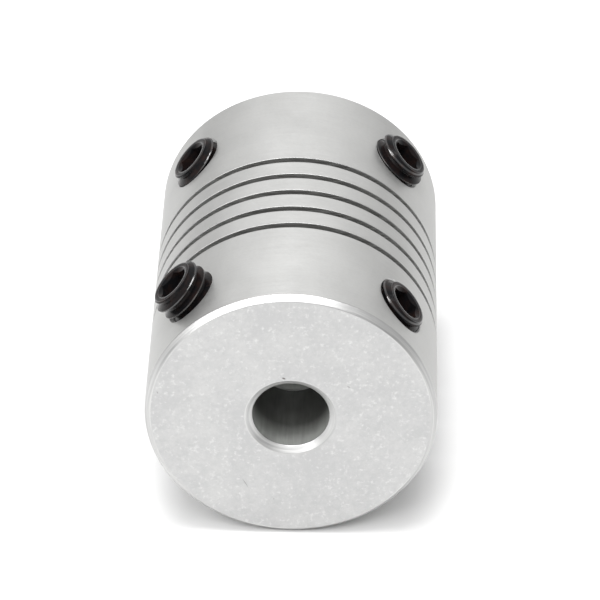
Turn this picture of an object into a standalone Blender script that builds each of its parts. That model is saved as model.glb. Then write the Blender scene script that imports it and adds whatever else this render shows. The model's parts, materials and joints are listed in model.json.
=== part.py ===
"""Beam coupling: a one-piece aluminium body, slit into two hubs and four beam rings, and four set screws.

Metres, +Z up. The shafts' axis is Y. The origin is on it at half length, and the narrow bore faces -Y.
The coupling lies on its side, with its set screws up and the webs that join its rings underneath.
"""

import math

import bmesh
import bpy
from mathutils import Matrix, Vector

MM = 0.001

# The turned body
LENGTH = 25 * MM
OUTER_R = 9.5 * MM
RIM_CHAMFER = 0.35 * MM
NARROW_BORE_R = 2.5 * MM
WIDE_BORE_R = 4 * MM
NARROW_BORE_LENGTH = 6.4 * MM  # the wide bore runs from here to the rear face
BORE_CHAMFER = 0.45 * MM
BORE_CHAMFER_DEPTH = 0.33 * MM

# The saw slits, and the webs that they leave
SLIT_COUNT = 5
SLIT_PITCH = 1.95 * MM
SLIT_WIDTH = 0.52 * MM
SLITS_CENTRE = -0.36 * MM  # the middle slit, from the body's half length
WEB_INNER = 7 * MM  # distance from the shafts' axis to the flat end of a slit
WEB_ANGLES = (225, 315)  # degrees from +X towards +Z, taken in turn
WEB_GAP = 0.05 * MM  # a web stops this far short of the next ring, so that the ring can move
HINGE_R = (WEB_INNER + OUTER_R) / 2  # a ring bends about the middle of its web
TWIST_SLIT = 3  # the rings on either side of this slit turn about the shafts' axis instead

# The M4 set screws
SCREW_R = 1.97 * MM
SCREW_LENGTH = 4 * MM
TAPPED_HOLE_R = 2.03 * MM
POINT_R = 1 * MM
POINT_LENGTH = 1 * MM  # of the 45 degree cone, from the cup's rim to the full thread
CUP_DEPTH = 0.45 * MM
POINT_SPLIT = 0.75 * MM  # the cup point is its own body up to here, so that a screw can turn and advance
POINT_GAP = 0.02 * MM
HEAD_CHAMFER = 0.35 * MM
SOCKET_ACROSS_FLATS = 2 * MM
SOCKET_DEPTH = 1.8 * MM
SOCKET_FLOOR_DEPTH = 0.35 * MM
FRONT_SCREWS_Y = -LENGTH / 2 + 4.0 * MM
REAR_SCREWS_Y = -LENGTH / 2 + 20.4 * MM
SCREWS = {  # name: hub, place along the axis, degrees from +X towards +Z, height above the body
    "front_left": ("front_hub", FRONT_SCREWS_Y, 135, 1.5 * MM),
    "front_right": ("front_hub", FRONT_SCREWS_Y, 41, 0.35 * MM),
    "rear_left": ("rear_hub", REAR_SCREWS_Y, 137.5, 0.5 * MM),
    "rear_right": ("rear_hub", REAR_SCREWS_Y, 44, 0.9 * MM),
}

BODY_SIDES = 48
SCREW_SIDES = 24
CUTTER_REACH = 12 * MM  # half of a saw cut's breadth, and how far out a tapped hole is cut
HOLE_START = 1.2 * MM  # a tapped hole is cut from here, inside the bore

ALONG_Y = Matrix.Rotation(math.radians(-90), 4, "X")  # turns a shape made about Z to lie about Y


def metal(name, colour, roughness):
    material = bpy.data.materials.new(name)
    material.use_nodes = True
    shader = material.node_tree.nodes["Principled BSDF"]
    shader.inputs["Base Color"].default_value = (*colour, 1)
    shader.inputs["Metallic"].default_value = 1
    shader.inputs["Roughness"].default_value = roughness
    return material


def outward(degrees):
    """The direction away from the shafts' axis at this angle."""
    angle = math.radians(degrees)
    return Vector((math.cos(angle), 0, math.sin(angle)))


def slit_y(number):
    return SLITS_CENTRE + (number - (SLIT_COUNT + 1) / 2) * SLIT_PITCH


def web_angle(number):
    return WEB_ANGLES[(number - 1) % len(WEB_ANGLES)]


def lathe(outline, sides, closed):
    """A bmesh about Z through an outline of (radius, height). A radius may be a function of the angle.

    A closed outline is a tube's section. An open one starts and ends at radius 0, on the axis.
    """
    shape = bmesh.new()
    rings = []
    for radius, height in outline:
        if radius == 0:
            rings.append([shape.verts.new((0, 0, height))] * sides)
            continue
        ring = []
        for side in range(sides):
            angle = math.tau * (side + 0.5) / sides
            distance = radius(angle) if callable(radius) else radius
            ring.append(shape.verts.new((distance * math.cos(angle), distance * math.sin(angle), height)))
        rings.append(ring)
    following = rings[1:] + rings[:1] if closed else rings[1:]
    for ring, after in zip(rings, following):
        for side in range(sides):
            beside = (side + 1) % sides
            corners = dict.fromkeys((ring[side], ring[beside], after[beside], after[side]))
            shape.faces.new(corners)
    bmesh.ops.recalc_face_normals(shape, faces=shape.faces)
    return shape


def placed(name, shape, place, origin, material=None):
    """An object from a bmesh. place takes the shape to the world, and origin is where the object's origin goes."""
    shape.transform(Matrix.Translation(origin).inverted() @ place)
    mesh = bpy.data.meshes.new(name)
    shape.to_mesh(mesh)
    shape.free()
    mesh.shade_smooth()
    mesh.set_sharp_from_angle(angle=math.radians(30))
    piece = bpy.data.objects.new(name, mesh)
    piece.location = origin
    bpy.context.scene.collection.objects.link(piece)
    if material:
        mesh.materials.append(material)
    else:
        piece.hide_render = True
        piece.display_type = "WIRE"
    return piece


def cut(piece, cutter):
    boolean = piece.modifiers.new(cutter.name, "BOOLEAN")
    boolean.operation = "DIFFERENCE"
    boolean.object = cutter


def hang(piece, parent):
    """Parents the piece where it stands."""
    bpy.context.view_layer.update()
    piece.parent = parent
    piece.matrix_parent_inverse = parent.matrix_world.inverted()


def saw_cut(number):
    """The cutter of one slit: a slab that reaches from beyond the body to the flat end of the slit."""
    slab = bmesh.new()
    bmesh.ops.create_cube(slab, size=1)
    across = WEB_INNER + CUTTER_REACH
    deep = SLIT_WIDTH * 1.5  # it runs on past the web's free end
    size = Matrix.Diagonal((across, deep, 2 * CUTTER_REACH, 1))
    shift = Matrix.Translation((WEB_INNER - across / 2, deep / 2, 0))
    turn = Matrix.Rotation(math.radians(-web_angle(number)), 4, "Y")
    origin = Vector((0, slit_y(number) - SLIT_WIDTH / 2, 0))
    return placed(f"saw_cut_{number}", slab, Matrix.Translation(origin) @ turn @ shift @ size, origin)


def body_section(name, outline, number, material):
    """A length of the body that ends with the web of slit number, or at the rear face where that is past the last."""
    hinge = Vector((0, 0, 0))
    if number > 1:
        hinge.y = slit_y(number - 1)
        if number - 1 != TWIST_SLIT:
            hinge += HINGE_R * outward(web_angle(number - 1))
    piece = placed(name, lathe(outline, BODY_SIDES, closed=True), ALONG_Y, hinge, material)
    if number <= SLIT_COUNT:
        cut(piece, saw_cut(number))
    return piece


def front_hub(material):
    front = -LENGTH / 2
    end = slit_y(1) + SLIT_WIDTH / 2 - WEB_GAP
    step = front + NARROW_BORE_LENGTH
    outline = [
        (NARROW_BORE_R + BORE_CHAMFER, front),
        (OUTER_R - RIM_CHAMFER, front),
        (OUTER_R, front + RIM_CHAMFER),
        (OUTER_R, end),
        (WIDE_BORE_R, end),
        (WIDE_BORE_R, step),
        (NARROW_BORE_R, step),
        (NARROW_BORE_R, front + BORE_CHAMFER_DEPTH),
    ]
    return body_section("front_hub", outline, 1, material)


def beam_ring(number, material):
    start = slit_y(number) + SLIT_WIDTH / 2
    end = slit_y(number + 1) + SLIT_WIDTH / 2 - WEB_GAP
    outline = [(WIDE_BORE_R, start), (OUTER_R, start), (OUTER_R, end), (WIDE_BORE_R, end)]
    return body_section(f"beam_ring_{number}", outline, number + 1, material)


def rear_hub(material):
    start = slit_y(SLIT_COUNT) + SLIT_WIDTH / 2
    rear = LENGTH / 2
    outline = [
        (WIDE_BORE_R, start),
        (OUTER_R, start),
        (OUTER_R, rear - RIM_CHAMFER),
        (OUTER_R - RIM_CHAMFER, rear),
        (WIDE_BORE_R + BORE_CHAMFER, rear),
        (WIDE_BORE_R, rear - BORE_CHAMFER_DEPTH),
    ]
    return body_section("rear_hub", outline, SLIT_COUNT + 1, material)


def screw_place(y, degrees, distance):
    """Turns a shape made about Z to point outward at this angle, this far from the shafts' axis."""
    turn = outward(degrees).to_track_quat("Z", "Y").to_matrix().to_4x4()
    return Matrix.Translation(Vector((0, y, 0)) + distance * outward(degrees)) @ turn


def hexagon(angle):
    """The distance from a hexagonal socket's axis to its wall at this angle, a corner lying at half a side."""
    from_flat = (angle - math.pi / SCREW_SIDES) % (math.tau / 6) - math.tau / 12
    return SOCKET_ACROSS_FLATS / 2 / math.cos(from_flat)


def cup_point(name, y, degrees, tip, material):
    outline = [
        (0, CUP_DEPTH),
        (POINT_R, 0),
        (POINT_R + POINT_SPLIT, POINT_SPLIT),
        (0, POINT_SPLIT),
    ]
    place = screw_place(y, degrees, tip)
    shape = lathe(outline, SCREW_SIDES, closed=False)
    return placed(f"cup_point_{name}", shape, place, place.to_translation(), material)


def set_screw(name, y, degrees, tip, material):
    start = POINT_SPLIT + POINT_GAP
    floor = SCREW_LENGTH - SOCKET_DEPTH
    outline = [
        (0, start),
        (POINT_R + start, start),
        (SCREW_R, POINT_LENGTH),
        (SCREW_R, SCREW_LENGTH - HEAD_CHAMFER),
        (SCREW_R - HEAD_CHAMFER, SCREW_LENGTH),
        (hexagon, SCREW_LENGTH),
        (hexagon, floor),
        (0, floor - SOCKET_FLOOR_DEPTH),
    ]
    place = screw_place(y, degrees, tip)
    shape = lathe(outline, SCREW_SIDES, closed=False)
    return placed(f"set_screw_{name}", shape, place, place.to_translation(), material)


def tapped_hole(name, y, degrees):
    """The cutter of one tapped hole, from the bore out through the body."""
    outline = [
        (0, HOLE_START),
        (TAPPED_HOLE_R, HOLE_START),
        (TAPPED_HOLE_R, CUTTER_REACH),
        (0, CUTTER_REACH),
    ]
    shape = lathe(outline, SCREW_SIDES, closed=False)
    return placed(f"tapped_hole_{name}", shape, screw_place(y, degrees, 0), Vector((0, y, 0)))


def main():
    for old in list(bpy.data.objects):
        bpy.data.objects.remove(old)
    aluminium = metal("satin aluminium", (0.78, 0.78, 0.77), 0.35)
    black_steel = metal("black oxide steel", (0.03, 0.03, 0.032), 0.4)

    sections = [front_hub(aluminium)]
    sections += [beam_ring(number, aluminium) for number in range(1, SLIT_COUNT)]
    sections.append(rear_hub(aluminium))
    hubs = {"front_hub": sections[0], "rear_hub": sections[-1]}

    for name, (hub, y, degrees, height) in SCREWS.items():
        tip = OUTER_R + height - SCREW_LENGTH
        cut(hubs[hub], tapped_hole(name, y, degrees))
        point = cup_point(name, y, degrees, tip, black_steel)
        hang(point, hubs[hub])
        hang(set_screw(name, y, degrees, tip, black_steel), point)

    for parent, child in zip(sections, sections[1:]):
        hang(child, parent)


main()
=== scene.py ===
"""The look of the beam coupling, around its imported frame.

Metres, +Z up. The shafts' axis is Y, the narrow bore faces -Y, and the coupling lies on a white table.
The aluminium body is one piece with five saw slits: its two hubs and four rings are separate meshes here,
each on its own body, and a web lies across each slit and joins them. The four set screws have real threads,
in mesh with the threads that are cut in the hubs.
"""

import json
import math

import bmesh
import bpy
from mathutils import Matrix, Vector


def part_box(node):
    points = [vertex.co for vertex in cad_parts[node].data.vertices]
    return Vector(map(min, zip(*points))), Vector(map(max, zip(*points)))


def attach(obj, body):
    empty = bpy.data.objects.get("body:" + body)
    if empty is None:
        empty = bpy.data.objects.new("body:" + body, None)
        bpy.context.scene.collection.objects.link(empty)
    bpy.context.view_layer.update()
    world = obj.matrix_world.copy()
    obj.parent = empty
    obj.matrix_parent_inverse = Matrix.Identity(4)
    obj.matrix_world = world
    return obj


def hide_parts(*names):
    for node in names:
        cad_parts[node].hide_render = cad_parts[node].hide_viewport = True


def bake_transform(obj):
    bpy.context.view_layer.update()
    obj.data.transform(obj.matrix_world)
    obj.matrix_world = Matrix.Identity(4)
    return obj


MM = 0.001

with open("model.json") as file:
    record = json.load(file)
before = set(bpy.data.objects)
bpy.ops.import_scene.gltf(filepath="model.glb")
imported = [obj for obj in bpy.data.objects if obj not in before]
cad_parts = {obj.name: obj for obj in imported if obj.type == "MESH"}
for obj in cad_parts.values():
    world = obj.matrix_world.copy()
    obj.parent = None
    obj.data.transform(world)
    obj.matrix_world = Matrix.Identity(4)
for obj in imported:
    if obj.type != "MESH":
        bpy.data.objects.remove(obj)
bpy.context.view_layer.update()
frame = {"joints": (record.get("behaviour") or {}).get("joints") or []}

# ---------------------------------------------------------------- sizes, from the frame
JOINTS = {joint["name"]: joint for joint in frame["joints"]}
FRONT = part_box("front_hub")[0].y
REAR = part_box("rear_hub")[1].y
SLIT_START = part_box("beam_ring_1")[0].y  # the near side of the first ring is the far side of the first slit
SLIT_JOINTS = ["slit_1_bend", "slit_2_bend", "slit_3_twist", "slit_4_bend", "slit_5_bend"]
SLITS = [JOINTS[name]["pos_m"][1] for name in SLIT_JOINTS]
HALF_SLIT = SLIT_START - SLITS[0]
HINGES = [Vector((JOINTS[name]["pos_m"][0], 0, JOINTS[name]["pos_m"][2])) for name in SLIT_JOINTS]
SCREW_HUBS = {"front_left": "front", "front_right": "front", "rear_left": "rear", "rear_right": "rear"}

# The turned body
OUTER_R = 9.5 * MM
RIM_CHAMFER = 0.35 * MM
NARROW_R = 2.5 * MM
WIDE_R = 4 * MM
NARROW_END = FRONT + 6.4 * MM
BORE_CHAMFER = 0.45 * MM
BORE_CHAMFER_DEPTH = 0.33 * MM
WEB_INNER = 2 * HINGES[0].length - OUTER_R
# The hinge of the third slit, which twists, is on the axis. Its web lies as the first slit's does.
WEB_SIDES = [HINGES[0], HINGES[1], HINGES[0], HINGES[3], HINGES[4]]
WEB_ROWS = 8
EDGE = 0.035 * MM  # the broken edge of a machined corner
EDGE_SUPPORT = 1.6  # times EDGE, from a corner to the ring that keeps the flat beside it flat

# M4 thread, and the screw's ends
PITCH = 0.7 * MM
CREST_R = 1.975 * MM
ROOT_R = 1.58 * MM
THREAD_CLEARANCE = 0.035 * MM
ROWS_PER_PITCH = 16
CREST_ROWS = 1  # rows from the middle of a crest to its edge
ROOT_ROWS = 6  # rows from the middle of a crest to the start of the root
SCREW_LENGTH = 4 * MM
CUP_R = 1 * MM
CUP_DEPTH = 0.45 * MM
CUP_INNER_EDGE = 0.03 * MM  # how far the cup's rim is rounded, inward and outward
CUP_OUTER_EDGE = 0.04 * MM
CUP_EDGE_HEIGHT = 0.02 * MM
POINT_INSET = 0.01 * MM  # the point's radius is this much smaller than that of the shank's end
POINT_END = 0.56 * MM  # the plain cone of the point ends here, where the thread starts
POINT_GAP = 0.005 * MM  # between the point and the shank, which turns on it
HEAD_R = 1.575 * MM  # just under the root, so that the head clears the threads of its hole
SOCKET_FLATS = 2 * MM
SOCKET_MOUTH_R = 1.24 * MM
SOCKET_DEPTH = 1.9 * MM
SOCKET_MOUTH_SLOPE = 0.8  # how much the mouth's cone falls for each unit towards the axis
SOCKET_BREAK = 0.04 * MM  # how wide the broken edges of the socket's mouth and the head are
HEAD_BREAK = 0.05 * MM
HEAD_STEP = 0.02 * MM  # and how high
DRILL_R = SOCKET_FLATS / 2 * 0.97  # the hole drilled for the socket, just inside its flats
DRILL_STEP = 0.03 * MM
DRILL_POINT = 0.5 * MM
HOLE_START = 0.8 * MM  # distances from the shafts' axis between which a hole is tapped
HOLE_END = 11.5 * MM
HOLE_END_SLOPE = 5  # how fast the tap widens at both ends, as radius over height
COUNTERSINK_START = 9.33 * MM  # where the countersink's cone is as wide as the hole
COUNTERSINK_BELOW = 0.5 * MM  # how far the cone goes on from there, inward and outward
COUNTERSINK_ABOVE = 2 * MM
MOUTH_REACH = 2.6 * MM  # the edge of a hole's mouth lies nearer to its axis than this

# The meshes: points nearer than a WELD are joined, and edges shorter than a COLLAPSE are dropped
BODY_SIDES = 288
SCREW_SIDES = 96
SMOOTH_UNDER = math.radians(30)
THREAD_WELD = 0.0005 * MM
THREAD_COLLAPSE = 0.0001 * MM
BOOLEAN_WELD = 0.0001 * MM
BOOLEAN_COLLAPSE = 0.00002 * MM


# ---------------------------------------------------------------- materials
MARK_SOFTNESS = 0.5  # the share of a nick's radius over which it fades out


def material(name, colour, metallic, roughness):
    made = bpy.data.materials.new(name)
    made.use_nodes = True
    shader = made.node_tree.nodes["Principled BSDF"]
    shader.inputs["Base Color"].default_value = (*colour, 1)
    shader.inputs["Metallic"].default_value = metallic
    shader.inputs["Roughness"].default_value = roughness
    return made


class Nodes:
    """Adds nodes to a material, with positions in millimetres of the object's own frame."""

    def __init__(self, made):
        self.tree = made.node_tree
        self.shader = self.tree.nodes["Principled BSDF"]
        place = self.tree.nodes.new("ShaderNodeTexCoord")
        self.millimetres = self.vector("MULTIPLY", place.outputs["Object"], (1 / MM, 1 / MM, 1 / MM))

    def join(self, value, socket):
        if isinstance(value, bpy.types.NodeSocket):
            self.tree.links.new(value, socket)
        elif value is not None:
            socket.default_value = value

    def vector(self, operation, first, second=None):
        node = self.tree.nodes.new("ShaderNodeVectorMath")
        node.operation = operation
        self.join(first, node.inputs[0])
        self.join(second, node.inputs[1])
        return node.outputs["Value" if operation == "LENGTH" else "Vector"]

    def math(self, operation, first, second=None, third=None):
        node = self.tree.nodes.new("ShaderNodeMath")
        node.operation = operation
        for value, socket in zip((first, second, third), node.inputs):
            self.join(value, socket)
        return node.outputs["Value"]

    def weighed(self, *parts):
        """The sum of parts that are each (value, weight)."""
        total = self.math("MULTIPLY", *parts[-1])
        for value, weight in reversed(parts[:-1]):
            total = self.math("MULTIPLY_ADD", value, weight, total)
        return total

    def noise(self, stretch, detail=2.0, roughness=0.5):
        """Noise whose cells per millimetre along X, Y and Z are given."""
        node = self.tree.nodes.new("ShaderNodeTexNoise")
        node.inputs["Scale"].default_value = 1
        node.inputs["Detail"].default_value = detail
        node.inputs["Roughness"].default_value = roughness
        self.join(self.vector("MULTIPLY", self.millimetres, stretch), node.inputs["Vector"])
        return node.outputs["Fac"]

    def ramp(self, value, low, high, out_low=0.0, out_high=1.0):
        node = self.tree.nodes.new("ShaderNodeMapRange")
        names = ("Value", "From Min", "From Max", "To Min", "To Max")
        for name, given in zip(names, (value, low, high, out_low, out_high)):
            self.join(given, node.inputs[name])
        return node.outputs["Result"]

    def mix(self, factor, first, second):
        node = self.tree.nodes.new("ShaderNodeMix")
        node.data_type = "RGBA"
        self.join(factor, node.inputs["Factor"])
        for value, name in ((first, "A"), (second, "B")):
            socket = next(s for s in node.inputs if s.name == name and s.type == "RGBA")
            self.join((*value, 1) if isinstance(value, tuple) else value, socket)
        return next(s for s in node.outputs if s.type == "RGBA")

    def bump(self, height, distance, after=None):
        node = self.tree.nodes.new("ShaderNodeBump")
        node.inputs["Strength"].default_value = 1
        node.inputs["Distance"].default_value = distance
        self.join(height, node.inputs["Height"])
        self.join(after, node.inputs["Normal"])
        return node.outputs["Normal"]

    def set(self, name, value):
        self.join(value, self.shader.inputs[name])

    def spot(self, x, z, along, length, width):
        """1 inside a small slanted mark on a face square to Y, falling to 0 at its edge."""
        turn = self.tree.nodes.new("ShaderNodeVectorRotate")
        turn.rotation_type = "Y_AXIS"
        turn.inputs["Angle"].default_value = math.radians(along)
        turn.inputs["Center"].default_value = (x, 0, z)
        self.join(self.millimetres, turn.inputs["Vector"])
        moved = self.vector("SUBTRACT", turn.outputs["Vector"], (x, 0, z))
        sized = self.vector("MULTIPLY", moved, (2 / length, 0, 2 / width))
        return self.ramp(self.vector("LENGTH", sized), 1 - MARK_SOFTNESS, 1, 1.0, 0.0)


def turned_aluminium():
    """The outside of the body: satin, with fine marks round it from the lathe."""
    made = material("turned_aluminium", (0.57, 0.57, 0.56), metallic=1, roughness=0.34)
    nodes = Nodes(made)
    nodes.shader.inputs["Specular Tint"].default_value = (0.55, 0.55, 0.55, 1)
    rings = nodes.noise((0.35, 14, 0.35), detail=3, roughness=0.6)
    grain = nodes.noise((5, 9, 5), detail=3, roughness=0.6)
    clouds = nodes.noise((0.45, 0.3, 0.45), detail=3)
    tone = nodes.weighed((rings, 0.35), (grain, 0.35), (clouds, 0.3))
    shade = nodes.ramp(tone, 0.35, 0.65)
    nodes.set("Base Color", nodes.mix(shade, (0.585, 0.585, 0.575), (0.65, 0.65, 0.64)))
    nodes.set("Roughness", nodes.ramp(tone, 0.3, 0.7, 0.42, 0.52))
    marks = nodes.bump(rings, 0.003 * MM)
    nodes.set("Normal", nodes.bump(grain, 0.0025 * MM, after=marks))
    return made


def mottled_aluminium():
    """The end faces: pale and matt, with small lighter flecks and a few nicks."""
    made = material("mottled_aluminium", (0.53, 0.53, 0.53), metallic=1, roughness=0.42)
    nodes = Nodes(made)
    flecks = nodes.noise((2.6, 2.6, 2.6), detail=4, roughness=0.7)
    patches = nodes.noise((0.35, 0.35, 0.35), detail=2)
    fine = nodes.noise((9, 9, 9), detail=2)
    pale = nodes.weighed((patches, 0.55), (flecks, 0.7), (fine, 0.25))
    tone = nodes.ramp(pale, 0.62, 0.95)
    colour = nodes.mix(tone, (0.445, 0.445, 0.445), (0.53, 0.53, 0.525))
    crystals = nodes.ramp(nodes.noise((3.8, 3.8, 3.8), detail=3, roughness=0.6), 0.56, 0.72)
    colour = nodes.mix(nodes.math("MULTIPLY", crystals, 0.45), colour, (0.7, 0.7, 0.69))
    for x, z, along, length, width, dark in (
        (-0.44, 3.13, -25, 0.3, 0.16, 0.75),
        (-2.98, -5.4, -62, 0.95, 0.07, 0.4),
        (3.74, 2.52, -40, 0.34, 0.12, 0.3),
        (-8.6, 1.87, -70, 0.25, 0.1, 0.35),
        (-1.13, -6.68, 10, 0.14, 0.09, 0.3),
    ):
        mark = nodes.spot(x, z, along, length, width)
        colour = nodes.mix(nodes.math("MULTIPLY", mark, dark), colour, (0.06, 0.045, 0.04))
    nodes.set("Base Color", colour)
    nodes.set("Roughness", nodes.ramp(pale, 0.5, 1.0, 0.38, 0.5))
    nodes.set("Normal", nodes.bump(pale, 0.006 * MM))
    return made


def chamfered_aluminium():
    """The chamfers and broken edges: satin, with fine rings from the tool."""
    made = material("chamfered_aluminium", (0.6, 0.6, 0.6), metallic=1, roughness=0.3)
    nodes = Nodes(made)
    rings = nodes.noise((0.2, 11, 0.2), detail=3, roughness=0.6)
    nodes.set("Base Color", nodes.mix(nodes.ramp(rings, 0.3, 0.7), (0.4, 0.4, 0.4), (0.6, 0.6, 0.59)))
    nodes.set("Roughness", nodes.ramp(rings, 0.3, 0.7, 0.36, 0.46))
    nodes.set("Normal", nodes.bump(rings, 0.005 * MM))
    return made


def bored_aluminium():
    """The bores and the tapped holes: dull from the drill, with painted shade that darkens them further in
    than their mouths.
    """
    made = material("bored_aluminium", (0.3, 0.3, 0.29), metallic=0.6, roughness=0.33)
    nodes = Nodes(made)
    drawn = nodes.noise((5, 0.4, 5), detail=3, roughness=0.6)
    stains = nodes.noise((0.8, 0.5, 0.8), detail=3)
    tone = nodes.weighed((drawn, 0.5), (stains, 0.5))
    shade = nodes.ramp(tone, 0.35, 0.65)
    # The bore's colour without the painted shade, and the darker colour of the painted shade deeper in.
    unshaded_bore = nodes.mix(shade, (0.46, 0.465, 0.45), (0.6, 0.62, 0.59))
    painted_shade_colour = nodes.mix(shade, (0.11, 0.11, 0.105), (0.17, 0.175, 0.165))
    along = nodes.tree.nodes.new("ShaderNodeSeparateXYZ")
    nodes.join(nodes.millimetres, along.inputs["Vector"])
    depth = nodes.math("SUBTRACT", REAR / MM, nodes.math("ABSOLUTE", along.outputs["Y"]))
    step = (NARROW_END - FRONT) / MM
    # Painted shade: full from just past a mouth to the narrow bore's step, and weaker beyond the step.
    past_mouth = nodes.ramp(depth, 0.8, 2.6)
    before_step = nodes.ramp(depth, step - 0.1, step + 0.1, 1.0, 0.3)
    painted_shade = nodes.math("MULTIPLY", past_mouth, before_step)
    nodes.set("Base Color", nodes.mix(painted_shade, unshaded_bore, painted_shade_colour))
    nodes.set("Roughness", nodes.ramp(drawn, 0.3, 0.7, 0.28, 0.4))
    nodes.set("Normal", nodes.bump(drawn, 0.002 * MM))
    return made


def sawn_aluminium():
    """The walls of the slits: straight marks from the saw."""
    made = material("sawn_aluminium", (0.5, 0.5, 0.49), metallic=1, roughness=0.45)
    nodes = Nodes(made)
    marks = nodes.noise((0.5, 6, 12), detail=2)
    nodes.set("Base Color", nodes.mix(nodes.ramp(marks, 0.3, 0.7), (0.4, 0.4, 0.39), (0.56, 0.56, 0.55)))
    nodes.set("Roughness", nodes.ramp(marks, 0.3, 0.7, 0.4, 0.55))
    nodes.set("Normal", nodes.bump(marks, 0.006 * MM))
    return made


def black_oxide(name, dark, brown, roughness, gloss):
    """The screws: black oxide, a little oily, with a brown cast here and there."""
    made = material(name, dark, metallic=0, roughness=roughness)
    nodes = Nodes(made)
    patches = nodes.noise((1.6, 1.6, 1.6), detail=3, roughness=0.6)
    grain = nodes.noise((11, 11, 11), detail=2)
    nodes.set("Base Color", nodes.mix(nodes.ramp(patches, 0.42, 0.68), dark, brown))
    nodes.set("Roughness", nodes.ramp(grain, 0.3, 0.7, roughness - 0.07, roughness + 0.1))
    nodes.set("Normal", nodes.bump(grain, 0.004 * MM))
    nodes.shader.inputs["Specular IOR Level"].default_value = gloss
    return made


TURNED, MOTTLED, CHAMFERED, BORED, SAWN = range(5)
BODY_MATERIALS = [
    turned_aluminium(),
    mottled_aluminium(),
    chamfered_aluminium(),
    bored_aluminium(),
    sawn_aluminium(),
]
OXIDE, WORN = range(2)
SCREW_MATERIALS = [
    black_oxide("black_oxide", (0.004, 0.004, 0.0045), (0.012, 0.007, 0.006), roughness=0.2, gloss=0.12),
    black_oxide("black_oxide_worn", (0.012, 0.012, 0.013), (0.026, 0.019, 0.017), roughness=0.15, gloss=0.8),
]


# ---------------------------------------------------------------- mesh work
ALONG_Y = Matrix.Rotation(math.radians(-90), 4, "X")  # turns a shape made about Z to lie about Y


def ring_of(shape, radius, height, sides):
    """A ring of vertices about Z. The radius may be a function of the angle."""
    ring = []
    for side in range(sides):
        angle = math.tau * side / sides
        distance = radius(angle) if callable(radius) else radius
        ring.append(shape.verts.new((distance * math.cos(angle), distance * math.sin(angle), height)))
    return ring


def band(shape, ring, after, finish):
    for side in range(len(ring)):
        beside = (side + 1) % len(ring)
        face = shape.faces.new((ring[side], ring[beside], after[beside], after[side]))
        face.material_index = finish


def cap(shape, ring, height, finish):
    """Closes a ring with a fan of triangles to a point on the axis."""
    middle = shape.verts.new((0, 0, height))
    for side in range(len(ring)):
        face = shape.faces.new((ring[side], ring[(side + 1) % len(ring)], middle))
        face.material_index = finish


def rounded(corners):
    """An outline with its corners broken: three short steps round each, between two rings for the flats.

    A corner is (radius, height, finish of the band up to the next corner).
    """
    outline = []
    for number, (radius, height, finish) in enumerate(corners):
        here = Vector((radius, height))
        before = (Vector(corners[number - 1][:2]) - here).normalized() * EDGE
        after = (Vector(corners[(number + 1) % len(corners)][:2]) - here).normalized() * EDGE
        outline.append((*(here + before * EDGE_SUPPORT), CHAMFERED))
        for share in (0, 1 / 3, 2 / 3, 1):
            point = here + before * (1 - share) ** 2 + after * share ** 2
            outline.append((*point, CHAMFERED))
        outline.append((*(here + after * EDGE_SUPPORT), finish))
    return outline


def lathe(outline, sides):
    """A tube about Z through a closed outline of (radius, height, finish of the band to the next point)."""
    shape = bmesh.new()
    rings = [ring_of(shape, radius, height, sides) for radius, height, _ in outline]
    for ring, after, point in zip(rings, rings[1:] + rings[:1], outline):
        band(shape, ring, after, point[2])
    bmesh.ops.recalc_face_normals(shape, faces=shape.faces)
    return shape


def to_object(name, shape, place, materials):
    shape.transform(place)
    mesh = bpy.data.meshes.new(name)
    shape.to_mesh(mesh)
    shape.free()
    for made in materials:
        mesh.materials.append(made)
    mesh.shade_smooth()
    mesh.set_sharp_from_angle(angle=SMOOTH_UNDER)
    piece = bpy.data.objects.new(name, mesh)
    bpy.context.scene.collection.objects.link(piece)
    return piece


def boolean(piece, operation, other):
    """Applies an exact Boolean to the piece, closes the slivers it leaves, and removes the other object."""
    modifier = piece.modifiers.new(operation, "BOOLEAN")
    modifier.operation = operation
    modifier.object = other
    modifier.material_mode = "TRANSFER"
    bpy.context.view_layer.update()
    result = bpy.data.meshes.new_from_object(piece.evaluated_get(bpy.context.evaluated_depsgraph_get()))
    shape = bmesh.new()
    shape.from_mesh(result)
    bmesh.ops.remove_doubles(shape, verts=shape.verts, dist=BOOLEAN_WELD)
    bmesh.ops.dissolve_degenerate(shape, edges=shape.edges, dist=BOOLEAN_COLLAPSE)
    shape.to_mesh(result)
    shape.free()
    piece.modifiers.clear()
    piece.data = result
    bpy.data.objects.remove(other)
    result.shade_smooth()
    result.set_sharp_from_angle(angle=SMOOTH_UNDER)


# ---------------------------------------------------------------- the set screws
def from_crest(row):
    """How many rows lie between a row and the middle of the nearest crest. Row 0 is such a middle."""
    return abs((row + ROWS_PER_PITCH / 2) % ROWS_PER_PITCH - ROWS_PER_PITCH / 2)


def thread_radius(row, crest, root):
    share = (from_crest(row) - CREST_ROWS) / (ROOT_ROWS - CREST_ROWS)
    return crest + (root - crest) * min(max(share, 0), 1)


def threaded(shape, start, end, crest, root, limit, crest_finish, finish):
    """The flank of a right-hand thread about Z from start to end, in rows that climb with the helix.

    limit(height) is the largest radius there, which cuts the thread down at its ends.
    """
    step = PITCH / ROWS_PER_PITCH
    first = math.floor((start - PITCH) / step) - 1
    last = math.ceil(end / step) + 1
    columns = []
    for side in range(SCREW_SIDES + 1):
        angle = math.tau * side / SCREW_SIDES
        column = []
        for row in range(first, last + 1):
            height = min(max(row * step + PITCH * side / SCREW_SIDES, start), end)
            radius = min(thread_radius(row, crest, root), limit(height))
            column.append(shape.verts.new((radius * math.cos(angle), radius * math.sin(angle), height)))
        columns.append(column)
    for column, beside in zip(columns, columns[1:]):
        for index in range(last - first):
            corners = (column[index], beside[index], beside[index + 1], column[index + 1])
            face = shape.faces.new(corners)
            on_crest = from_crest(first + index + 0.5) < CREST_ROWS
            face.material_index = crest_finish if on_crest else finish


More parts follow.
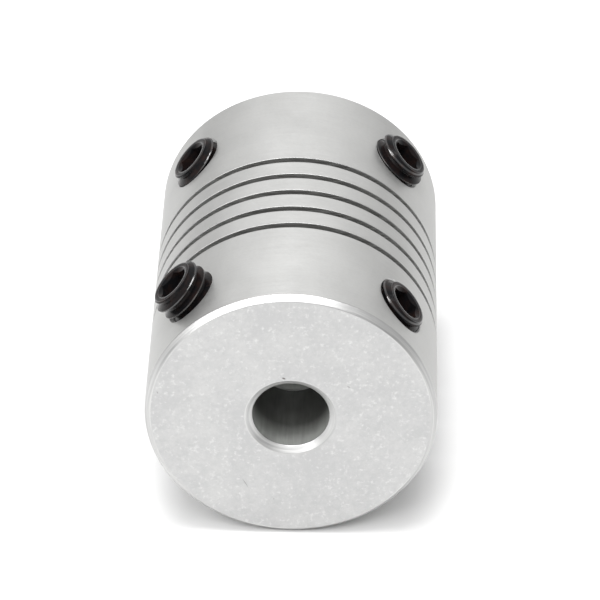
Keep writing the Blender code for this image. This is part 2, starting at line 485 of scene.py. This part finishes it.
def closed_up(shape):
    """Joins the thread's seam and its ends to what they meet, and drops what has collapsed there."""
    bmesh.ops.remove_doubles(shape, verts=shape.verts, dist=THREAD_WELD)
    bmesh.ops.dissolve_degenerate(shape, edges=shape.edges, dist=THREAD_COLLAPSE)
    bmesh.ops.recalc_face_normals(shape, faces=shape.faces)


def hexagon(flats):
    """The distance from the axis to the wall of a hexagonal socket, as a function of the angle."""
    def wall(angle):
        from_flat = angle % (math.tau / 6) - math.tau / 12
        return flats / 2 / math.cos(from_flat)
    return wall


def screw_shank(name, place):
    """The threaded part of a screw with its hexagonal socket, the tip of the screw being at 0."""
    def limit(height):
        point = CUP_R + height
        head = HEAD_R + SCREW_LENGTH - height
        return min(point, head)

    shape = bmesh.new()
    threaded(shape, POINT_END, SCREW_LENGTH, CREST_R, ROOT_R, limit, WORN, OXIDE)
    bottom = ring_of(shape, min(limit(POINT_END), ROOT_R), POINT_END, SCREW_SIDES)
    cap(shape, bottom, POINT_END, OXIDE)
    top = SCREW_LENGTH + HEAD_STEP
    rim = ring_of(shape, HEAD_R, SCREW_LENGTH, SCREW_SIDES)
    flat = ring_of(shape, HEAD_R - HEAD_BREAK, top, SCREW_SIDES)
    inner = ring_of(shape, SOCKET_MOUTH_R + SOCKET_BREAK, top, SCREW_SIDES)
    mouth = ring_of(shape, SOCKET_MOUTH_R, top - HEAD_STEP, SCREW_SIDES)
    throat = ring_of(shape, hexagon(SOCKET_FLATS), SCREW_LENGTH, SCREW_SIDES)
    for vertex in throat:
        vertex.co.z -= SOCKET_MOUTH_SLOPE * (SOCKET_MOUTH_R - vertex.co.xy.length)
    floor = ring_of(shape, hexagon(SOCKET_FLATS), SCREW_LENGTH - SOCKET_DEPTH, SCREW_SIDES)
    drill = ring_of(shape, DRILL_R, SCREW_LENGTH - SOCKET_DEPTH - DRILL_STEP, SCREW_SIDES)
    rings = (rim, flat, inner, mouth, throat, floor, drill)
    for ring, after, finish in zip(rings, rings[1:], (WORN, OXIDE, WORN, OXIDE, OXIDE, OXIDE)):
        band(shape, ring, after, finish)
    cap(shape, drill, SCREW_LENGTH - SOCKET_DEPTH - DRILL_POINT, OXIDE)
    closed_up(shape)
    return to_object(name, shape, place, SCREW_MATERIALS)


def screw_point(name, place):
    """The cup point: a cone with a raised rim round a hollow, which bites into the shaft."""
    shape = bmesh.new()
    outline = [
        (CUP_R / 2, CUP_DEPTH / 2),
        (CUP_R - CUP_INNER_EDGE, CUP_EDGE_HEIGHT),
        (CUP_R, 0),
        (CUP_R + CUP_OUTER_EDGE, CUP_EDGE_HEIGHT),
        (CUP_R + POINT_END - POINT_INSET, POINT_END - POINT_GAP),
    ]
    rings = [ring_of(shape, radius, height, SCREW_SIDES) for radius, height in outline]
    for number, (ring, after) in enumerate(zip(rings, rings[1:])):
        band(shape, ring, after, WORN if number in (1, 2) else OXIDE)
    cap(shape, rings[0], CUP_DEPTH, OXIDE)
    cap(shape, rings[-1], POINT_END - POINT_GAP, OXIDE)
    bmesh.ops.recalc_face_normals(shape, faces=shape.faces)
    return to_object(name, shape, place, SCREW_MATERIALS)


def thread_cutter(name, place, tip):
    """What the tap takes out of the hub: the screw's thread with clearance, from bore to beyond the body."""
    start = HOLE_START - tip
    end = HOLE_END - tip

    def limit(height):
        return ROOT_R / 2 + HOLE_END_SLOPE * min(height - start, end - height)

    shape = bmesh.new()
    threaded(shape, start, end, CREST_R + THREAD_CLEARANCE, ROOT_R + THREAD_CLEARANCE, limit, 0, 0)
    for height in (start, end):
        cap(shape, ring_of(shape, ROOT_R / 2, height, SCREW_SIDES), height, 0)
    closed_up(shape)
    return to_object(name, shape, place, [BODY_MATERIALS[BORED]])


def countersink(name, place, tip):
    """The small cone that breaks the edge of a tapped hole where it comes out of the body."""
    start = COUNTERSINK_START - tip
    narrow = CREST_R + THREAD_CLEARANCE
    shape = bmesh.new()
    outline = [
        (narrow - COUNTERSINK_BELOW, start - COUNTERSINK_BELOW),
        (narrow + COUNTERSINK_ABOVE, start + COUNTERSINK_ABOVE),
    ]
    rings = [ring_of(shape, radius, height, SCREW_SIDES) for radius, height in outline]
    band(shape, *rings, 0)
    for ring, (_, height) in zip(rings, outline):
        cap(shape, ring, height, 0)
    bmesh.ops.recalc_face_normals(shape, faces=shape.faces)
    return to_object(name, shape, place, [BODY_MATERIALS[CHAMFERED]])


def sharp_mouth(hub, place):
    """Keeps a hole's edge sharp, so that its slope doesn't bend the shading of the surface round it."""
    to_hole = place.inverted()
    shape = bmesh.new()
    shape.from_mesh(hub.data)
    for edge in shape.edges:
        middle = to_hole @ ((edge.verts[0].co + edge.verts[1].co) / 2)
        finishes = {face.material_index for face in edge.link_faces}
        if middle.z > 0 and middle.xy.length < MOUTH_REACH and TURNED in finishes and len(finishes) > 1:
            edge.smooth = False
    shape.to_mesh(hub.data)
    shape.free()


def axis_place(joint):
    """Takes a shape made about Z, its tip at 0, to the screw whose turning joint this is."""
    axis = Vector(joint["axis"])
    return Matrix.Translation(Vector(joint["pos_m"])) @ axis.to_track_quat("Z", "Y").to_matrix().to_4x4()


def screw(name, hub):
    """One set screw, and the tapped hole that holds it in its hub."""
    place = axis_place(JOINTS[f"screw_{name}_turn"])
    tip = Vector((place.translation.x, 0, place.translation.z)).length
    boolean(hub, "DIFFERENCE", thread_cutter(f"tap_{name}", place, tip))
    boolean(hub, "DIFFERENCE", countersink(f"countersink_{name}", place, tip))
    sharp_mouth(hub, place)
    shank = screw_shank(f"screw_{name}_shank", place)
    point = screw_point(f"screw_{name}_point", place)
    for piece, body in ((shank, f"set_screw_{name}"), (point, f"cup_point_{name}")):
        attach(piece, body)
        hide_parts(body)


# ---------------------------------------------------------------- the body
def turned(name, corners):
    return to_object(name, lathe(rounded(corners), BODY_SIDES), ALONG_Y, BODY_MATERIALS)


def front_hub():
    end = SLITS[0] - HALF_SLIT
    return turned("hub_front", [
        (NARROW_R + BORE_CHAMFER, FRONT, MOTTLED),
        (OUTER_R - RIM_CHAMFER, FRONT, CHAMFERED),
        (OUTER_R, FRONT + RIM_CHAMFER, TURNED),
        (OUTER_R, end, SAWN),
        (WIDE_R, end, BORED),
        (WIDE_R, NARROW_END, BORED),
        (NARROW_R, NARROW_END, BORED),
        (NARROW_R, FRONT + BORE_CHAMFER_DEPTH, CHAMFERED),
    ])


def ring(number):
    start = SLITS[number - 1] + HALF_SLIT
    end = SLITS[number] - HALF_SLIT
    return turned(f"ring_{number}", [
        (WIDE_R, start, SAWN),
        (OUTER_R, start, TURNED),
        (OUTER_R, end, SAWN),
        (WIDE_R, end, BORED),
    ])


def rear_hub():
    start = SLITS[-1] + HALF_SLIT
    return turned("hub_rear", [
        (WIDE_R, start, SAWN),
        (OUTER_R, start, TURNED),
        (OUTER_R, REAR - RIM_CHAMFER, CHAMFERED),
        (OUTER_R - RIM_CHAMFER, REAR, MOTTLED),
        (WIDE_R + BORE_CHAMFER, REAR, CHAMFERED),
        (WIDE_R, REAR - BORE_CHAMFER_DEPTH, BORED),
    ])


def web(number):
    """What is left of the bar at one slit: a segment of its section, with its flat towards the bore."""
    middle = math.atan2(*WEB_SIDES[number - 1].zx)
    half = math.acos(WEB_INNER / OUTER_R)
    step = math.tau / BODY_SIDES
    first = math.ceil((middle - half) / step)
    last = math.ceil((middle + half) / step)
    grid = [step * side for side in range(first, last)]
    angles = [middle - half, *grid, middle + half]
    reach = HALF_SLIT + EDGE
    shape = bmesh.new()
    rows = []
    for row in range(WEB_ROWS + 1):
        y = SLITS[number - 1] + reach * (2 * row / WEB_ROWS - 1)
        points = [(OUTER_R * math.cos(angle), y, OUTER_R * math.sin(angle)) for angle in angles]
        rows.append([shape.verts.new(point) for point in points])
    for row, after in zip(rows, rows[1:]):
        band(shape, row, after, TURNED)
    for face in shape.faces:
        breadth = max((a.co - b.co).length for a in face.verts for b in face.verts)
        if breadth > OUTER_R / 2:  # the flat towards the bore, from one end of the arc to the other
            face.material_index = SAWN
    for row in (rows[0], rows[-1]):
        shape.faces.new(row).material_index = SAWN
    bmesh.ops.recalc_face_normals(shape, faces=shape.faces)
    return to_object(f"web_{number}", shape, Matrix.Identity(4), BODY_MATERIALS)


hubs = {"front": front_hub(), "rear": rear_hub()}
for name, hub in SCREW_HUBS.items():
    screw(name, hubs[hub])
for name, hub in hubs.items():
    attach(hub, f"{name}_hub")
    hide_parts(f"{name}_hub")
for number in range(1, len(SLITS)):
    piece = ring(number)
    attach(piece, f"beam_ring_{number}")
    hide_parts(f"beam_ring_{number}")
for number, joint in enumerate(SLIT_JOINTS, 1):
    piece = web(number)
    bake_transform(piece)


# ---------------------------------------------------------------- the table, the light and the camera
TABLE_REACH = 1500 * MM
LIT_POINT = Vector((0, 0, 0))
FILM_WIDTH = 36  # in mm, as the lens is
NEAREST = 1 * MM
FARTHEST = 20000 * MM


def table(name, height):
    made = material("white_table", (0.6, 0.6, 0.6), metallic=0, roughness=0.6)
    nodes = Nodes(made)
    nodes.set("Base Color", nodes.mix(nodes.noise((0.2, 0.2, 0.2)), (0.67, 0.67, 0.67), (0.69, 0.69, 0.69)))
    shape = bmesh.new()
    bmesh.ops.create_grid(shape, x_segments=1, y_segments=1, size=TABLE_REACH)
    piece = to_object(name, shape, Matrix.Translation((0, 0, height)), [made])


def area_light(name, place, size, watts):
    """A white light that faces the middle of the object."""
    light = bpy.data.lights.new(name, "AREA")
    light.shape = "RECTANGLE"
    light.size, light.size_y = size
    light.energy = watts
    lamp = bpy.data.objects.new(name, light)
    lamp.location = place
    lamp.rotation_euler = (LIT_POINT - Vector(place)).to_track_quat("-Z", "Y").to_euler()
    bpy.context.scene.collection.objects.link(lamp)


def camera(target, distance, azimuth, elevation, lens):
    """Azimuth 0 looks along +Y, and 90 along -X. The elevation is how far down it looks."""
    turn, rise = math.radians(azimuth), math.radians(elevation)
    away = Vector((math.sin(turn) * math.cos(rise), -math.cos(turn) * math.cos(rise), math.sin(rise)))
    data = bpy.data.cameras.new("camera")
    data.lens = lens
    data.sensor_width = FILM_WIDTH
    data.clip_start = NEAREST
    data.clip_end = FARTHEST
    eye = bpy.data.objects.new("camera", data)
    eye.location = Vector(target) + away * distance
    eye.rotation_euler = (-away).to_track_quat("-Z", "Y").to_euler()
    bpy.context.scene.collection.objects.link(eye)
    bpy.context.scene.camera = eye


def sky(strength):
    world = bpy.data.worlds.new("sky")
    world.use_nodes = True
    background = world.node_tree.nodes["Background"]
    background.inputs["Color"].default_value = (1, 1, 1, 1)
    background.inputs["Strength"].default_value = strength
    bpy.context.scene.world = world


table("table_top", height=-OUTER_R)
sky(strength=0.6)
area_light("front_strip", place=(20 * MM, -185 * MM, 240 * MM), size=(210 * MM, 90 * MM), watts=0.36)
area_light("back", place=(0, 328 * MM, 230 * MM), size=(500 * MM, 350 * MM), watts=0.16)
area_light("left", place=(-240 * MM, -220 * MM, 232 * MM), size=(250 * MM, 250 * MM), watts=0.8)
area_light("overhead", place=(-20 * MM, -20 * MM, 420 * MM), size=(220 * MM, 220 * MM), watts=2.0)
camera(target=(0.30 * MM, 0, 0.55 * MM), distance=258.24 * MM, azimuth=1.386, elevation=35.02, lens=230.13)
bpy.context.scene.view_settings.view_transform = "Standard"
